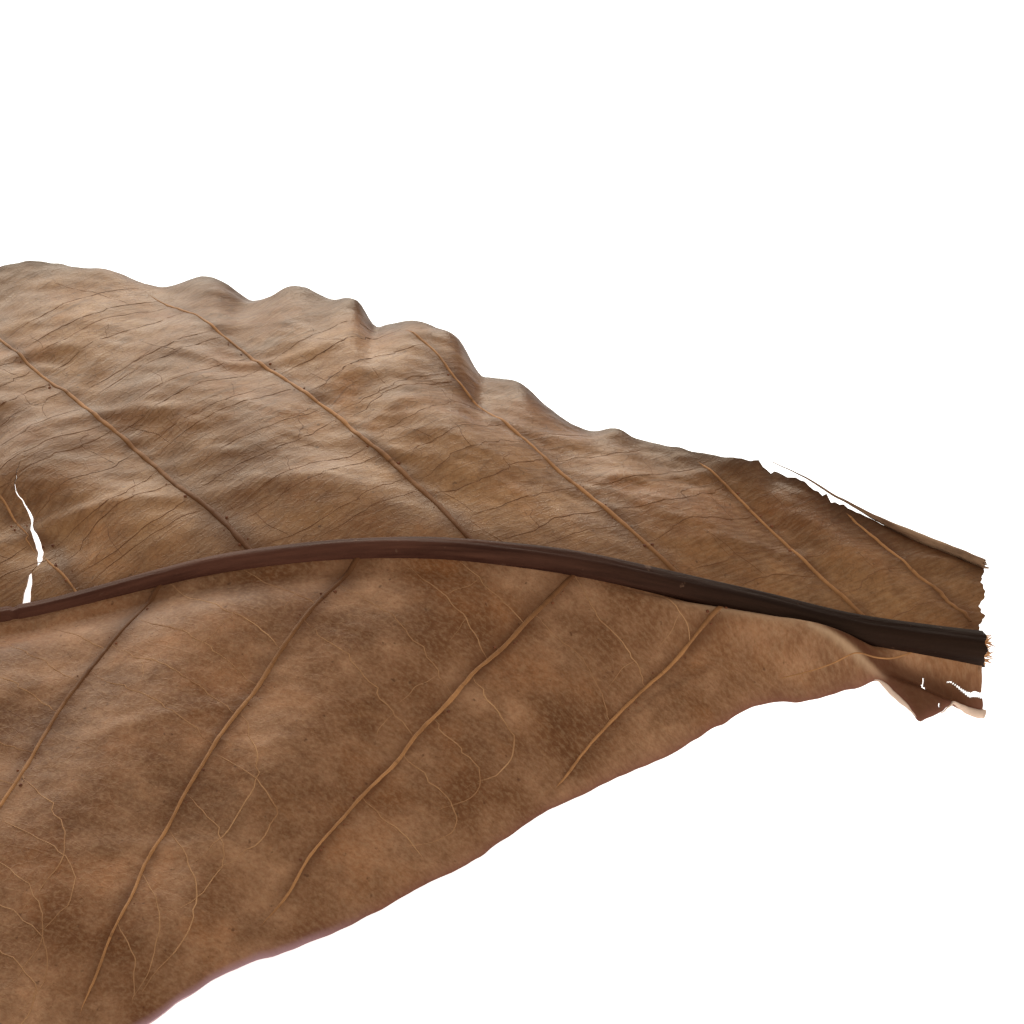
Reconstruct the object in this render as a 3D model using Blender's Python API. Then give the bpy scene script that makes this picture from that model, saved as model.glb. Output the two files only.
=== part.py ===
"""A large dry leaf, lying with its underside up, as one closed solid.

The blade and its midrib grew as one piece, so they are one object. The blade is arched along its
length and domed across it. It rests on the curled edge of its near half, on the curled far edge
next to the tip, and on the corner at its broken base. The stalk has snapped off at the base.

Units are metres, +Z is up, the tip points to -X and the broken base to +X. The near half is on
the -Y side. The origin is at the centre of the leaf's footprint, on the surface it rests on.
"""

import bpy
import numpy as np

MM = 0.001

# Driving dimensions
LEAF_LENGTH = 205 * MM
BLADE_THICKNESS = 0.5 * MM
RIB_HALF_WIDTH_AT_BASE = 1.6 * MM
RIB_HALF_WIDTH_AT_TIP = 0.35 * MM
RIB_HEIGHT_SHARE = 1.1  # how far the midrib stands out of the underside, as a share of its half-width
RIB_KEEL_SHARE = 0.25  # how far it stands out of the other face
LOBE_LENGTH = 23 * MM  # from one wave of the far edge to the next, the same as between side veins
LOBE_HEIGHT = 1.2 * MM
BREAK_DEPTH = 1.8 * MM  # how far the torn blade stands back from the end of the midrib
BREAK_FADE = 8 * MM  # the length over which the torn edge's shape dies away

# How finely the solid is divided
STATION_COUNT = 60
RIB_COLUMNS = 3  # from the midrib's middle to its side
BLADE_COLUMNS = 9  # from the midrib's side to the edge

# Curves along the leaf: (distance from the broken base in mm, value). Widths and heights are in
# mm and slopes in degrees. A slope is measured across the leaf, and is positive where the blade
# rises away from the near edge.
RIB_HEIGHT = ((0, 3.4), (14, 5.3), (27, 8.8), (40, 12.7), (56, 15.5), (75, 14.7), (98, 9.4),
              (118, 7.6), (150, 7.4), (186, 5.0), (205, 2.2))
RIB_SIDEWAYS = ((0, 0), (75, 0), (98, -1.5), (118, -3.5), (142, -6.5), (165, -10), (205, -17.5))
FAR_WIDTH = ((0, 11), (14, 17), (27, 21.5), (40, 27), (56, 39), (75, 51), (98, 59), (118, 60),
             (142, 56), (165, 45), (184, 27), (197, 9), (205, 0.6))
NEAR_WIDTH = ((0, 8), (6, 9.8), (14, 7.5), (27, 14.5), (40, 23.5), (56, 38), (75, 50), (98, 58),
              (118, 60), (142, 56), (165, 45), (184, 27), (197, 9), (205, 0.6))
FAR_SLOPE_AT_RIB = ((0, 30), (14, 32), (27, 26), (40, 19), (56, 16), (75, 15), (98, 20), (118, 17),
                    (142, 10), (165, 5), (205, 0))
FAR_SLOPE_AT_EDGE = ((0, 20), (14, 14), (27, -4), (40, -10), (56, -4), (75, -1), (98, 2), (118, -17),
                     (142, -31), (165, -25), (186, -14), (205, -8))
NEAR_SLOPE_AT_RIB = ((0, 40), (27, 36), (40, 30), (56, 22), (75, 14), (98, 7), (118, 6), (150, 8),
                     (205, 8))
NEAR_SLOPE_AT_EDGE = ((0, 58), (14, 50), (27, 40), (40, 34), (56, 26), (75, 20), (98, 16), (118, 14),
                      (142, 12), (165, 8), (205, 5))

BLADE_BROWN = (0.26, 0.127, 0.061, 1.0)
RIB_BROWN = (0.045, 0.018, 0.012, 1.0)


def along(points, distance):
    """The smooth curve through the points, read at the distances given in metres.

    Each span is a cubic that passes through its two end points and takes its slopes there from
    the points on either side.
    """
    stations, values = np.array(points, float).T
    at = np.clip(distance / MM, stations[0], stations[-1])
    slopes = np.gradient(values, stations)
    span = np.clip(np.searchsorted(stations, at, side="right") - 1, 0, len(stations) - 2)
    length = stations[span + 1] - stations[span]
    k = (at - stations[span]) / length
    return (
        (2 * k**3 - 3 * k**2 + 1) * values[span]
        + (k**3 - 2 * k**2 + k) * length * slopes[span]
        + (3 * k**2 - 2 * k**3) * values[span + 1]
        + (k**3 - k**2) * length * slopes[span + 1]
    )


def half_width(distance, far):
    """Width of the far or the near half, measured over the blade from midrib to edge."""
    return MM * np.where(far, along(FAR_WIDTH, distance), along(NEAR_WIDTH, distance))


def rib_half_width(distance):
    """The midrib's half-width: it tapers evenly from the base to the tip."""
    taper = distance / LEAF_LENGTH
    return RIB_HALF_WIDTH_AT_BASE + (RIB_HALF_WIDTH_AT_TIP - RIB_HALF_WIDTH_AT_BASE) * taper


def middle_surface(distance, across):
    """Points half-way through the blade.

    distance runs from the broken base to the tip. across is the length over the blade from the
    midrib, negative on the near half. Each half's section is a circular arc: it leaves the midrib
    at one slope and reaches the edge at another. The far edge also rises and falls in waves that
    fade out towards the midrib.
    """
    far = across >= 0
    reach = np.abs(across)
    share = reach / half_width(distance, far)
    slope_at_rib = np.where(
        far, along(FAR_SLOPE_AT_RIB, distance), -along(NEAR_SLOPE_AT_RIB, distance)
    )
    slope_at_edge = np.where(
        far, along(FAR_SLOPE_AT_EDGE, distance), -along(NEAR_SLOPE_AT_EDGE, distance)
    )
    turn = np.radians(slope_at_edge - slope_at_rib) * share
    direction = np.radians(slope_at_rib) + turn / 2
    chord = reach * np.sinc(turn / (2 * np.pi))
    wave = LOBE_HEIGHT * np.cos(2 * np.pi * distance / LOBE_LENGTH) * share**3
    x = -distance + tear_back(distance, across)
    y = MM * along(RIB_SIDEWAYS, distance) + np.where(far, chord, -chord) * np.cos(direction)
    z = MM * along(RIB_HEIGHT, distance) + chord * np.sin(direction) + np.where(far, wave, 0)
    return np.stack([x, y, z], axis=-1)


def tear_back(distance, across):
    """How far the torn edge of the base is drawn back towards the tip, along X."""
    beside_rib = 1 - np.exp(-((across / (2 * RIB_HALF_WIDTH_AT_BASE)) ** 2))
    raggedness = 1 + 0.3 * np.sin(across * 900)
    return -BREAK_DEPTH * beside_rib * raggedness * np.exp(-distance / BREAK_FADE)


def columns_across(distance):
    """Distances from the midrib at each station: one row for each station, near edge first."""
    rib = rib_half_width(distance)
    rib_steps = np.sin(np.linspace(0, np.pi / 2, RIB_COLUMNS + 1))
    blade_steps = np.linspace(0, 1, BLADE_COLUMNS + 1)[1:]
    halves = []
    for far in (False, True):
        width = half_width(distance, far)
        side_of_rib = np.minimum(rib, 0.5 * width)
        on_rib = side_of_rib[:, None] * rib_steps[None, 1:]
        on_blade = side_of_rib[:, None] + (width - side_of_rib)[:, None] * blade_steps[None, :]
        halves.append(np.concatenate([on_rib, on_blade], axis=1))
    middle = np.zeros((len(distance), 1))
    return np.concatenate([-halves[0][:, ::-1], middle, halves[1]], axis=1)


def upward_normals(points):
    """Unit normals of a grid of points, on the side of the underside, which faces up."""
    along_leaf = np.gradient(points, axis=0)
    across_leaf = np.gradient(points, axis=1)
    normals = np.cross(across_leaf, along_leaf)
    return normals / np.linalg.norm(normals, axis=-1, keepdims=True)


def leaf_faces(rows, columns):
    """Quads of a closed sheet: its upper grid, its lower grid and the rim between them."""
    index = np.arange(rows * columns).reshape(rows, columns)
    corners = (index[:-1, :-1], index[:-1, 1:], index[1:, 1:], index[1:, :-1])
    upper = np.stack(corners, axis=-1).reshape(-1, 4)
    lower = upper[:, ::-1] + rows * columns
    rim = np.concatenate([index[0, :-1], index[:-1, -1], index[-1, :0:-1], index[:0:-1, 0]])
    following = np.roll(rim, -1)
    below = rows * columns
    side = np.stack([following, rim, rim + below, following + below], axis=-1)
    return np.concatenate([upper, lower, side])


def leaf_points():
    """Upper and lower grids of the leaf, with the midrib as a swelling along the middle."""
    distance = LEAF_LENGTH * np.linspace(0, 1, STATION_COUNT)
    across = columns_across(distance)
    stations = np.repeat(distance[:, None], across.shape[1], axis=1)
    middle = middle_surface(stations, across)
    normal = upward_normals(middle)
    rib = rib_half_width(stations)
    swelling = rib * np.sqrt(np.clip(1 - (across / rib) ** 2, 0, 1))
    above = BLADE_THICKNESS / 2 + RIB_HEIGHT_SHARE * swelling
    below = BLADE_THICKNESS / 2 + RIB_KEEL_SHARE * swelling
    upper = middle + normal * above[..., None]
    lower = middle - normal * below[..., None]
    return upper, lower


def settled(points):
    """The points moved so that the leaf's footprint is centred and its lowest point is at z = 0."""
    low = points.min(axis=0)
    high = points.max(axis=0)
    return points - [(low[0] + high[0]) / 2, (low[1] + high[1]) / 2, low[2]]


def material(name, colour, roughness):
    """A plain matt finish."""
    finish = bpy.data.materials.new(name)
    finish.use_nodes = True
    shader = finish.node_tree.nodes["Principled BSDF"]
    shader.inputs["Base Color"].default_value = colour
    shader.inputs["Roughness"].default_value = roughness
    shader.inputs["Metallic"].default_value = 0.0
    return finish


def make_leaf():
    """The leaf as one object, with the midrib's faces in their own darker brown."""
    upper, lower = leaf_points()
    rows, columns = upper.shape[:2]
    points = settled(np.concatenate([upper.reshape(-1, 3), lower.reshape(-1, 3)]))
    faces = leaf_faces(rows, columns)
    mesh = bpy.data.meshes.new("leaf")
    mesh.from_pydata(points.tolist(), [], faces.tolist())
    mesh.materials.append(material("dry_blade", BLADE_BROWN, 0.7))
    mesh.materials.append(material("dark_midrib", RIB_BROWN, 0.6))
    column_of = faces % (rows * columns) % columns
    on_rib = np.all(np.abs(column_of - columns // 2) <= RIB_COLUMNS, axis=1)
    mesh.polygons.foreach_set("material_index", on_rib.astype(np.int32))
    mesh.shade_smooth()
    mesh.set_sharp_from_angle(angle=np.radians(50))
    leaf = bpy.data.objects.new("leaf", mesh)
    bpy.context.scene.collection.objects.link(leaf)
    return leaf


def main():
    for existing in list(bpy.data.objects):
        bpy.data.objects.remove(existing, do_unlink=True)
    make_leaf()


main()
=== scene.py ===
"""The finish of a large dry leaf, lying with its veined underside up.

One surface carries everything. A point on it is given by two lengths: distance, along the leaf from
the broken base, and across, over the blade from the midrib, positive on the far half. blade_point()
turns the pair into a place in space, with the blade's waves, folds and crumples. Each piece is laid
out in those two lengths: the two halves of the blade, the midrib, the side veins, the fine veins, the
bumps beside them, the rolled strip of edge, the hem of the bent corner and the torn fibres.

Units are metres. +Z is up, the tip points to -X and the broken base to +X, and the near half is on
the -Y side.
"""

import bpy
import mathutils
import numpy as np
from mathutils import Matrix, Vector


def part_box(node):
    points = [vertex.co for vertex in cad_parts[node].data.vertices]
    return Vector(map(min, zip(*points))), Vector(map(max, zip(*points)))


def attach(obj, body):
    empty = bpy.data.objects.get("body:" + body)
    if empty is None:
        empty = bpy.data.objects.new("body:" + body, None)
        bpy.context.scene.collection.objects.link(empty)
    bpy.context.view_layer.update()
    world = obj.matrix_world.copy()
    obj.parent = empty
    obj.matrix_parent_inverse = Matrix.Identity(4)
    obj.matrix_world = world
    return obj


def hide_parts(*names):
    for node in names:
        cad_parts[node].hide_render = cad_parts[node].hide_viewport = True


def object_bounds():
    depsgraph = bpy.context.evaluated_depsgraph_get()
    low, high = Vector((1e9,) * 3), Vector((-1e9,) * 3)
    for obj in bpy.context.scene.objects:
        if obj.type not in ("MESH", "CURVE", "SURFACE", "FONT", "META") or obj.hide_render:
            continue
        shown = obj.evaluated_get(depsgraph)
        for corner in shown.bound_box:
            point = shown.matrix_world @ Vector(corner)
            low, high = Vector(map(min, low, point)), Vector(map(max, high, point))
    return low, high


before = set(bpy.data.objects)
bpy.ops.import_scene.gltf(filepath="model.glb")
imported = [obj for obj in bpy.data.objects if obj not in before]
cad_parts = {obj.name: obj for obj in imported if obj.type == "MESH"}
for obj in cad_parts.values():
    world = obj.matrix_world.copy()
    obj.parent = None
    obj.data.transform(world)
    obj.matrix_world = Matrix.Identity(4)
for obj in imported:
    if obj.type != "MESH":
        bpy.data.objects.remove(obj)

cad_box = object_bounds()

MM = 0.001
LEAF_LENGTH = 205 * MM
BODY = "root"
NODE = "leaf"
BLADE_THICKNESS = 0.3 * MM
UV_METRES = 0.1  # the length of one unit of the flat map that the blade's patterns are drawn in

# ---------------------------------------------------------------- the shape of the blade

# Curves along the leaf: (distance from the broken base in mm, value), widths and heights in mm and
# slopes in degrees, positive where the blade rises away from the near edge.
RIB_HEIGHT = ((0, 3.4), (14, 5.3), (27, 8.8), (40, 12.7), (56, 15.5), (75, 14.7), (98, 9.4),
              (118, 7.6), (150, 7.4), (186, 5.0), (205, 2.2))
RIB_SIDEWAYS = ((0, 0), (75, 0), (98, -1.5), (118, -3.5), (142, -6.5), (165, -10), (205, -17.5))
FAR_WIDTH = ((0, 11), (14, 17), (27, 21.5), (40, 27), (56, 39), (75, 51), (98, 59), (118, 60),
             (142, 56), (165, 45), (184, 27), (197, 9), (205, 0.6))
NEAR_WIDTH = ((0, 3.3), (2.3, 4.6), (4.0, 6.3), (5.1, 7.3), (6.1, 7.9), (6.9, 8.5), (7.7, 7.6),
              (8.9, 6.5), (10.7, 5.1), (12.5, 5.7), (14.5, 6.3), (18.5, 8.1), (22.3, 9.3),
              (28.4, 14.3), (38.4, 22.2), (47, 30.1), (54.4, 36.9), (60.8, 42.3), (70.5, 48),
              (80.3, 55), (90.5, 59), (118, 60), (142, 56), (165, 45), (184, 27), (197, 9), (205, 0.6))
FAR_SLOPE_AT_RIB = ((0, 30), (14, 32), (27, 26), (40, 19), (56, 16), (75, 15), (98, 20), (118, 17),
                    (142, 10), (165, 5), (205, 0))
FAR_SLOPE_AT_EDGE = ((0, 20), (14, 14), (27, -4), (40, -10), (56, -4), (75, -1), (98, 2), (118, -17),
                     (142, -31), (165, -25), (186, -14), (205, -8))
NEAR_SLOPE_AT_RIB = ((0, 40), (27, 36), (40, 30), (56, 22), (75, 14), (98, 7), (118, 6), (150, 8),
                     (205, 8))
NEAR_SLOPE_AT_EDGE = ((0, 58), (14, 50), (27, 40), (40, 34), (56, 26), (75, 20), (98, 16), (118, 14),
                      (142, 12), (165, 8), (205, 5))

# How far the far edge rises or dips, in mm: its lobes, with sharp notches between them
FAR_EDGE_LIFT = ((0, -1.2), (5, -1.1), (8, -0.9), (12, 0), (14.6, 0.4), (17, 0.9), (21, 1.0),
                 (22, 1.6), (27, 1.9), (34, 0.8), (37, 0.7), (39.5, -0.5), (41, -0.6), (44, 0),
                 (47, 0.9), (50, -0.9), (51.6, -1.9), (54, 0.5), (56.5, 0.8), (59.5, 0.7),
                 (62, -0.4), (63.5, -1.1), (65.6, 1.1), (68.5, 0.2), (74, -0.3), (76, -1.9),
                 (78, -2.9), (82, -1.0), (84, -1.2), (89.2, -3.0), (91, -2.7), (96, -0.8),
                 (98, -0.5), (105, 3.4), (108.5, 5.2), (113, 4.0), (118, -0.5), (121, 1.0),
                 (129, 1.4), (133, -1.2), (136, 0.6), (144, 1.2), (149, -1.0), (152, 0.8),
                 (161, 0.9), (165, -1.0), (170, 0.5), (178, -0.6), (186, 0.4), (205, 0))

# How far the midrib and the blade beside it stand above the plain surface, in mm
RIB_LIFT = ((0, 0.1), (11, 0.6), (22, 0.9), (35, 0.3), (50, -0.4), (65, -0.8), (100, -1.0), (120, -0.8),
            (160, -0.4), (205, 0))

# The near half's ridge beside the midrib: its height in mm
CREST_HEIGHT = ((0, 0.9), (5, 1.0), (8.5, 1.5), (14, 3.4), (22, 2.5), (28, 1.8), (34, 0.9), (40, 0.2),
                (46, 0), (205, 0))

# The crease past which the near half's corner at the base is bent down. It starts at this distance,
# this far from the midrib, and comes nearer to the base by the slant for each length outwards.
CREASE_START = 18.3 * MM
CREASE_REACH = 2.9 * MM
CREASE_SLANT = 5.0
REST_HEIGHT = 4.2 * MM  # what the plain surface is raised by, so that the leaf rests on the ground

# Side veins: where each leaves the midrib, in mm from the broken base. How far a vein has run
# towards the tip is lean times its distance from the midrib less bend times its square.
VEIN_BY_TEAR = 91.5
VEIN_SPACING = 16 * MM  # from one side vein to the next, measured square to them
STEEP_LEAN = 1.5  # veins that lean more than this are short thin ones in the bent corner
NEAR_ROOTS = (-14, 3, 24.5, 40.8, 62.8, 82.8, 103, 122, 140, 156, 170, 182, 192, 200, 206)
FAR_ROOTS = (-20, -1.8, 10.5, 29.5, 51, 73.5, VEIN_BY_TEAR, 112, 131, 148, 163, 176, 187, 196, 204)
NEAR_LEAN = ((-14, 2.6), (3, 2.6), (24.5, 1.0), (40.8, 0.78), (62.8, 0.63), (82.8, 0.62), (206, 0.5))
NEAR_BEND = ((-14, 0), (3, 0), (24.5, 9), (40.8, 2.5), (62.8, 3.8), (82.8, 6), (206, 5))
FAR_LEAN = ((-20, 0.9), (-1.8, 0.95), (10.5, 0.92), (29.5, 0.98), (51, 0.74), (73.5, 0.72),
            (VEIN_BY_TEAR, 0.65), (206, 0.5))
FAR_BEND = ((-20, 0), (-1.8, 0), (29.5, 5), (51, 0), (73.5, 0), (VEIN_BY_TEAR, 1), (206, 4))

# The tear on the far half, which starts at the midrib and ends at TEAR_END: (across in mm, distance
# in mm) along its middle, and (across in mm, width in mm)
TEAR_PATH = ((0, 97.4), (2.8, 97.3), (5.5, 97.1), (6.5, 96.6), (8.7, 96.8), (11.4, 97.9), (13.1, 98.2),
             (16.4, 100.1), (21, 99.9))
TEAR_WIDTH = ((0, 0.85), (2, 0.75), (3.7, 0.5), (5.3, 0.15), (5.9, 0.03), (6.6, 0.4), (8.7, 0.55),
              (10.5, 0.5), (11.6, 0.25), (13.1, 0.28), (14.5, 0.12), (17, 0.08), (21, 0.05))
TEAR_MIDDLE = 98 * MM
TEAR_END = 20 * MM

# The near half's slit at the broken base, and its two small holes: (distance, across, half-length
# and half-width, all in mm)
SLIT_REACH = 2.7 * MM
SLIT_GAP = 0.22 * MM
HOLES = ((6.1, 3.7, 0.22, 0.9), (4.9, 6.4, 0.2, 0.2))

BREAK_LEAN = -0.14  # the torn base line runs out this far for each length away from the midrib
BREAK_FADE = 7 * MM  # the length over which the torn line's shape dies away

# The midrib stands out past the torn blade at the base, runs on past the blade's tip, and is cracked
# where the tear meets it
RIB_START = -0.4 * MM
RIB_END = LEAF_LENGTH + 1.2 * MM
RIB_CRACK = 98.3 * MM


def along(points, distance):
    """The smooth curve through the points, read at the distances given in metres.

    Each span is a cubic through its two end points, with slopes taken from the points beside it.
    """
    stations, values = np.array(points, float).T
    at = np.clip(distance / MM, stations[0], stations[-1])
    slopes = np.gradient(values, stations)
    span = np.clip(np.searchsorted(stations, at, side="right") - 1, 0, len(stations) - 2)
    length = stations[span + 1] - stations[span]
    k = (at - stations[span]) / length
    return (
        (2 * k**3 - 3 * k**2 + 1) * values[span]
        + (k**3 - 2 * k**2 + k) * length * slopes[span]
        + (3 * k**2 - 2 * k**3) * values[span + 1]
        + (k**3 - k**2) * length * slopes[span + 1]
    )


def smooth_step(low, high, value):
    """0 below low, 1 above high and an S-shaped cubic between them."""
    k = np.clip((value - low) / (high - low), 0, 1)
    return k * k * (3 - 2 * k)


def unevenness(x, y, length, seed, stretch=1.0):
    """Smooth unevenness of about -1 to 1: the sum of ten sine waves in random directions.

    Each wave is 0.6 to 1.5 times as many to a length as one wave of the given length would be, and a
    stretch above 1 draws them out along x. The sum is divided by 3.2 to bring it near -1 to 1.
    """
    draw = np.random.default_rng(seed)
    total = 0
    for _ in range(10):
        heading = draw.uniform(0, 2 * np.pi)
        number = 2 * np.pi / length * draw.uniform(0.6, 1.5)
        phase = draw.uniform(0, 2 * np.pi)
        total = total + np.sin(number * (x * np.cos(heading) / stretch + y * np.sin(heading)) + phase)
    return total / 3.2


def creases(x, y, length, seed, stretch=1.0):
    """Sharp ridges of 0 to 1 between soft hollows: one less 1.6 times the size of the unevenness."""
    return 1 - np.clip(np.abs(unevenness(x, y, length, seed, stretch)) * 1.6, 0, 1)


def half_width(distance, far):
    """Width of the far or the near half, measured over the blade from midrib to edge."""
    return MM * np.where(far, along(FAR_WIDTH, distance), along(NEAR_WIDTH, distance))


def rib_half_width(distance):
    """The midrib's half-width: it tapers evenly from the base to the tip."""
    return MM * (1.65 - 1.25 * distance / LEAF_LENGTH)


def plain_surface(distance, across):
    """The blade before its fine shape.

    Each half's section is a circular arc that leaves the midrib at one slope and reaches the edge at
    another: a point lies at the end of a chord whose direction is the slope at the midrib and half
    the turn so far, and whose length is the reach times sin(turn / 2) over (turn / 2).
    """
    far = across >= 0
    reach = np.abs(across)
    share = reach / half_width(distance, far)
    slope_at_rib = np.where(
        far, along(FAR_SLOPE_AT_RIB, distance), -along(NEAR_SLOPE_AT_RIB, distance)
    )
    slope_at_edge = np.where(
        far, along(FAR_SLOPE_AT_EDGE, distance), -along(NEAR_SLOPE_AT_EDGE, distance)
    )
    turn = np.radians(slope_at_edge - slope_at_rib) * share
    direction = np.radians(slope_at_rib) + turn / 2
    chord = reach * np.sinc(turn / (2 * np.pi))
    y = MM * along(RIB_SIDEWAYS, distance) + np.where(far, chord, -chord) * np.cos(direction)
    z = MM * along(RIB_HEIGHT, distance) + chord * np.sin(direction)
    return np.stack([-distance, y, z], axis=-1)


def cad_place():
    """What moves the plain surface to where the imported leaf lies: the two boxes' +X ends and their
    middles in Y meet, and the surface is REST_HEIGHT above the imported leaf's lowest point."""
    distance, share = np.meshgrid(np.linspace(0, LEAF_LENGTH, 400), np.linspace(-1, 1, 81), indexing="ij")
    points = plain_surface(distance, share * half_width(distance, share >= 0)).reshape(-1, 3)
    low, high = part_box(NODE)
    middle = (low[1] + high[1] - points[:, 1].min() - points[:, 1].max()) / 2
    return np.array([high[0] - points[:, 0].max(), middle, low[2] + REST_HEIGHT])


PLACE = cad_place()


def vein_order(distance, across):
    """Which side vein a point lies on: whole numbers on the veins and fractions between them.

    The place where the point's own vein would leave the midrib is distance less lean times reach and
    plus bend times reach squared. Lean and bend depend on that place, so it is found by repeated
    correction.
    """
    far = across >= 0
    reach = np.abs(across)
    root = distance - 0.7 * reach
    for _ in range(12):
        lean = np.where(far, along(FAR_LEAN, root), along(NEAR_LEAN, root))
        bend = np.where(far, along(FAR_BEND, root), along(NEAR_BEND, root))
        root = (root + distance - lean * reach + bend * reach**2) / 2
    numbers = np.arange(len(NEAR_ROOTS))
    far_order = np.interp(root / MM, FAR_ROOTS, numbers)
    near_order = np.interp(root / MM, NEAR_ROOTS, numbers)
    return np.where(far, far_order, near_order)


def lobes(distance, across, share):
    """The far edge's lobes, which grow with the fourth power of the share of the way to the edge, and
    the slow waves of the near edge, which grow with its square."""
    fade = smooth_step(20 * MM, 34 * MM, distance) * (1 - smooth_step(185 * MM, 200 * MM, distance))
    far = MM * along(FAR_EDGE_LIFT, distance) * share**4
    near = 0.6 * MM * unevenness(distance, across, 30 * MM, 5) * share**2 * fade
    return np.where(across >= 0, far, near)


def pillows(across, share, order):
    """The blade swells a little between side veins and dips along them: half a cosine of the vein
    order, which starts beside the midrib and fades towards the edge."""
    between = 0.5 - 0.5 * np.cos(2 * np.pi * np.where(across < 0, np.maximum(order, 1.5), order))
    strength = np.where(across >= 0, 1.0, 0.45) * MM
    start = smooth_step(2 * MM, 10 * MM, np.abs(across))
    return strength * (between - 0.5) * start * smooth_step(0, 0.5, 1.08 - share)


def crumples(distance, across):
    """Dry crumpling: soft dents, sharper creases and fine ripples that run with the leaf, each the
    unevenness or the creases of its own length times its own height, and a quarter as high beside
    the midrib."""
    far = across >= 0
    soft = 0.26 * unevenness(distance, across, 19 * MM, 11)
    sharp = 0.30 * creases(distance, across, 17 * MM, 12, 1.8) * np.where(far, 1.0, 0.45)
    ripple = 0.055 * unevenness(distance, across, 4.2 * MM, 13, 2.2) * np.where(far, 1.0, 0.3)
    fine = 0.03 * unevenness(distance, across, 1.6 * MM, 14, 1.6)
    start = 0.25 + 0.75 * smooth_step(2 * MM, 14 * MM, np.abs(across))
    return MM * (soft + sharp + ripple + fine) * start


def crest_beside_rib(distance, across):
    """On the near half the blade first rises beside the midrib, near the base, and then falls: a
    bell-shaped ridge with its top at middle, and a narrower spread on its inner side."""
    reach = np.abs(across)
    middle = (1.9 + 0.9 * smooth_step(2 * MM, 14 * MM, distance)) * MM
    outer = np.minimum(2.6 * MM, 0.3 * half_width(distance, False))
    spread = np.where(reach < middle, 0.95 * MM, outer)
    ridge = np.exp(-(((reach - middle) / spread) ** 2))
    return np.where(across < 0, MM * along(CREST_HEIGHT, distance) * ridge, 0)


def lift_beside_rib(distance, across):
    """The blade rises or sinks with the midrib: the midrib's lift, dying away by a factor of e over
    each 5 mm."""
    return MM * along(RIB_LIFT, distance) * np.exp(-np.abs(across) / (5 * MM))


def folded_corner(distance, across):
    """The corner of the near half at the base, bent down past a slanting crease: a drop of 0.28 of
    the length past the crease, rounded over 1.2 mm."""
    crease = CREASE_START - CREASE_SLANT * (np.abs(across) - CREASE_REACH)
    past = crease - distance
    drop = 0.28 * (past + np.sqrt(past**2 + (1.2 * MM) ** 2)) / 2
    return np.where(across < 0, -drop * smooth_step(1 * MM, 4 * MM, np.abs(across)), 0)


def edge_curl(distance, across, share):
    """The last few millimetres turn down, more in some places than in others: an uneven amount,
    dying away by a factor of e over each 1.5 mm in from the edge."""
    reach = np.abs(across)
    from_edge = reach * (1 / np.maximum(share, 1e-3) - 1)
    amount = 0.8 + 0.6 * unevenness(distance, across * 0, 21 * MM, 21)
    far_amount = amount * (0.35 + 0.65 * smooth_step(20 * MM, 45 * MM, distance))
    curl = np.exp(-from_edge / (1.5 * MM))
    return -MM * curl * np.where(across >= 0, 0.5 * far_amount, 0.32 * amount)


def tear_warp(distance, across):
    """Moves the grid's lines on to the two sides of the tear: they follow its path, within about 7 mm
    of it, and stand back from it by half its width, which narrows to nothing at the tear's end."""
    path = MM * along(TEAR_PATH, np.maximum(across, 0))
    path = path + 0.08 * MM * unevenness(across, 0 * across, 1.6 * MM, 31)
    beside = distance - TEAR_MIDDLE
    on_far = smooth_step(0, 0.5 * MM, across)
    fade = 1 - smooth_step(TEAR_END, TEAR_END + 8 * MM, across)
    follow = (path - TEAR_MIDDLE) * np.exp(-((beside / (7 * MM)) ** 2)) * on_far * fade
    width = MM * along(TEAR_WIDTH, np.maximum(across, 0))
    width = width * (1 - smooth_step(0.9 * TEAR_END, TEAR_END, across)) * on_far
    return follow + np.sign(beside) * width / 2 * np.exp(-np.abs(beside) / (2.5 * MM))


def break_warp(distance, across):
    """The torn base: a line that runs out past the base in proportion to its distance from the
    midrib, with coarse and fine raggedness, fading over BREAK_FADE."""
    reach = np.abs(across)
    ragged = 0.16 * unevenness(across, 0 * across, 3.1 * MM, 41)
    ragged = ragged + 0.09 * unevenness(across, 0 * across, 0.7 * MM, 42)
    return (BREAK_LEAN * reach + ragged * MM) * np.exp(-distance / BREAK_FADE)


def shaped(distance, across):
    """The blade's middle surface: the plain surface with the heights of its fine shape added, and
    drawn aside along the leaf at the tear and at the torn base."""
    far = across >= 0
    share = np.abs(across) / half_width(distance, far)
    order = vein_order(distance, across)
    height = (
        lobes(distance, across, share)
        + pillows(across, share, order)
        + crumples(distance, across)
        + lift_beside_rib(distance, across)
        + crest_beside_rib(distance, across)
        + folded_corner(distance, across)
        + edge_curl(distance, across, share)
    )
    point = plain_surface(distance, across)
    point[..., 0] -= tear_warp(distance, across) + break_warp(distance, across)
    point[..., 2] += height
    return point + PLACE


def unit(vectors):
    """Vectors scaled to a length of one."""
    return vectors / np.maximum(np.linalg.norm(vectors, axis=-1, keepdims=True), 1e-12)


def clear_of_ground(points):
    """Points kept above the surface that the leaf lies on: heights near zero level off smoothly, as
    half the sum of the height above the least one and that height's rounded size."""
    least, soft = 0.15 * MM, 0.5 * MM
    above = points[..., 2] - least
    points[..., 2] = least + (above + np.sqrt(above**2 + soft**2)) / 2
    return points


def blade_point(distance, across, lift=0.0):
    """Places on the blade, raised by lift along the normal of the face that looks up. The normal is
    square to two short steps over the surface, one along the leaf and one across it."""
    step = 0.25 * MM
    side = np.where(across >= 0, 1.0, -1.0)
    point = shaped(distance, across)
    run = shaped(distance + step, across) - point
    over = (shaped(distance, across + side * step) - point) * side[..., None]
    normal = unit(np.cross(over, run))
    normal = normal * np.where(normal[..., 2:] < 0, -1.0, 1.0)
    lifted = point + normal * np.broadcast_to(lift, distance.shape)[..., None]
    return clear_of_ground(lifted), normal


# ---------------------------------------------------------------- meshes


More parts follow.
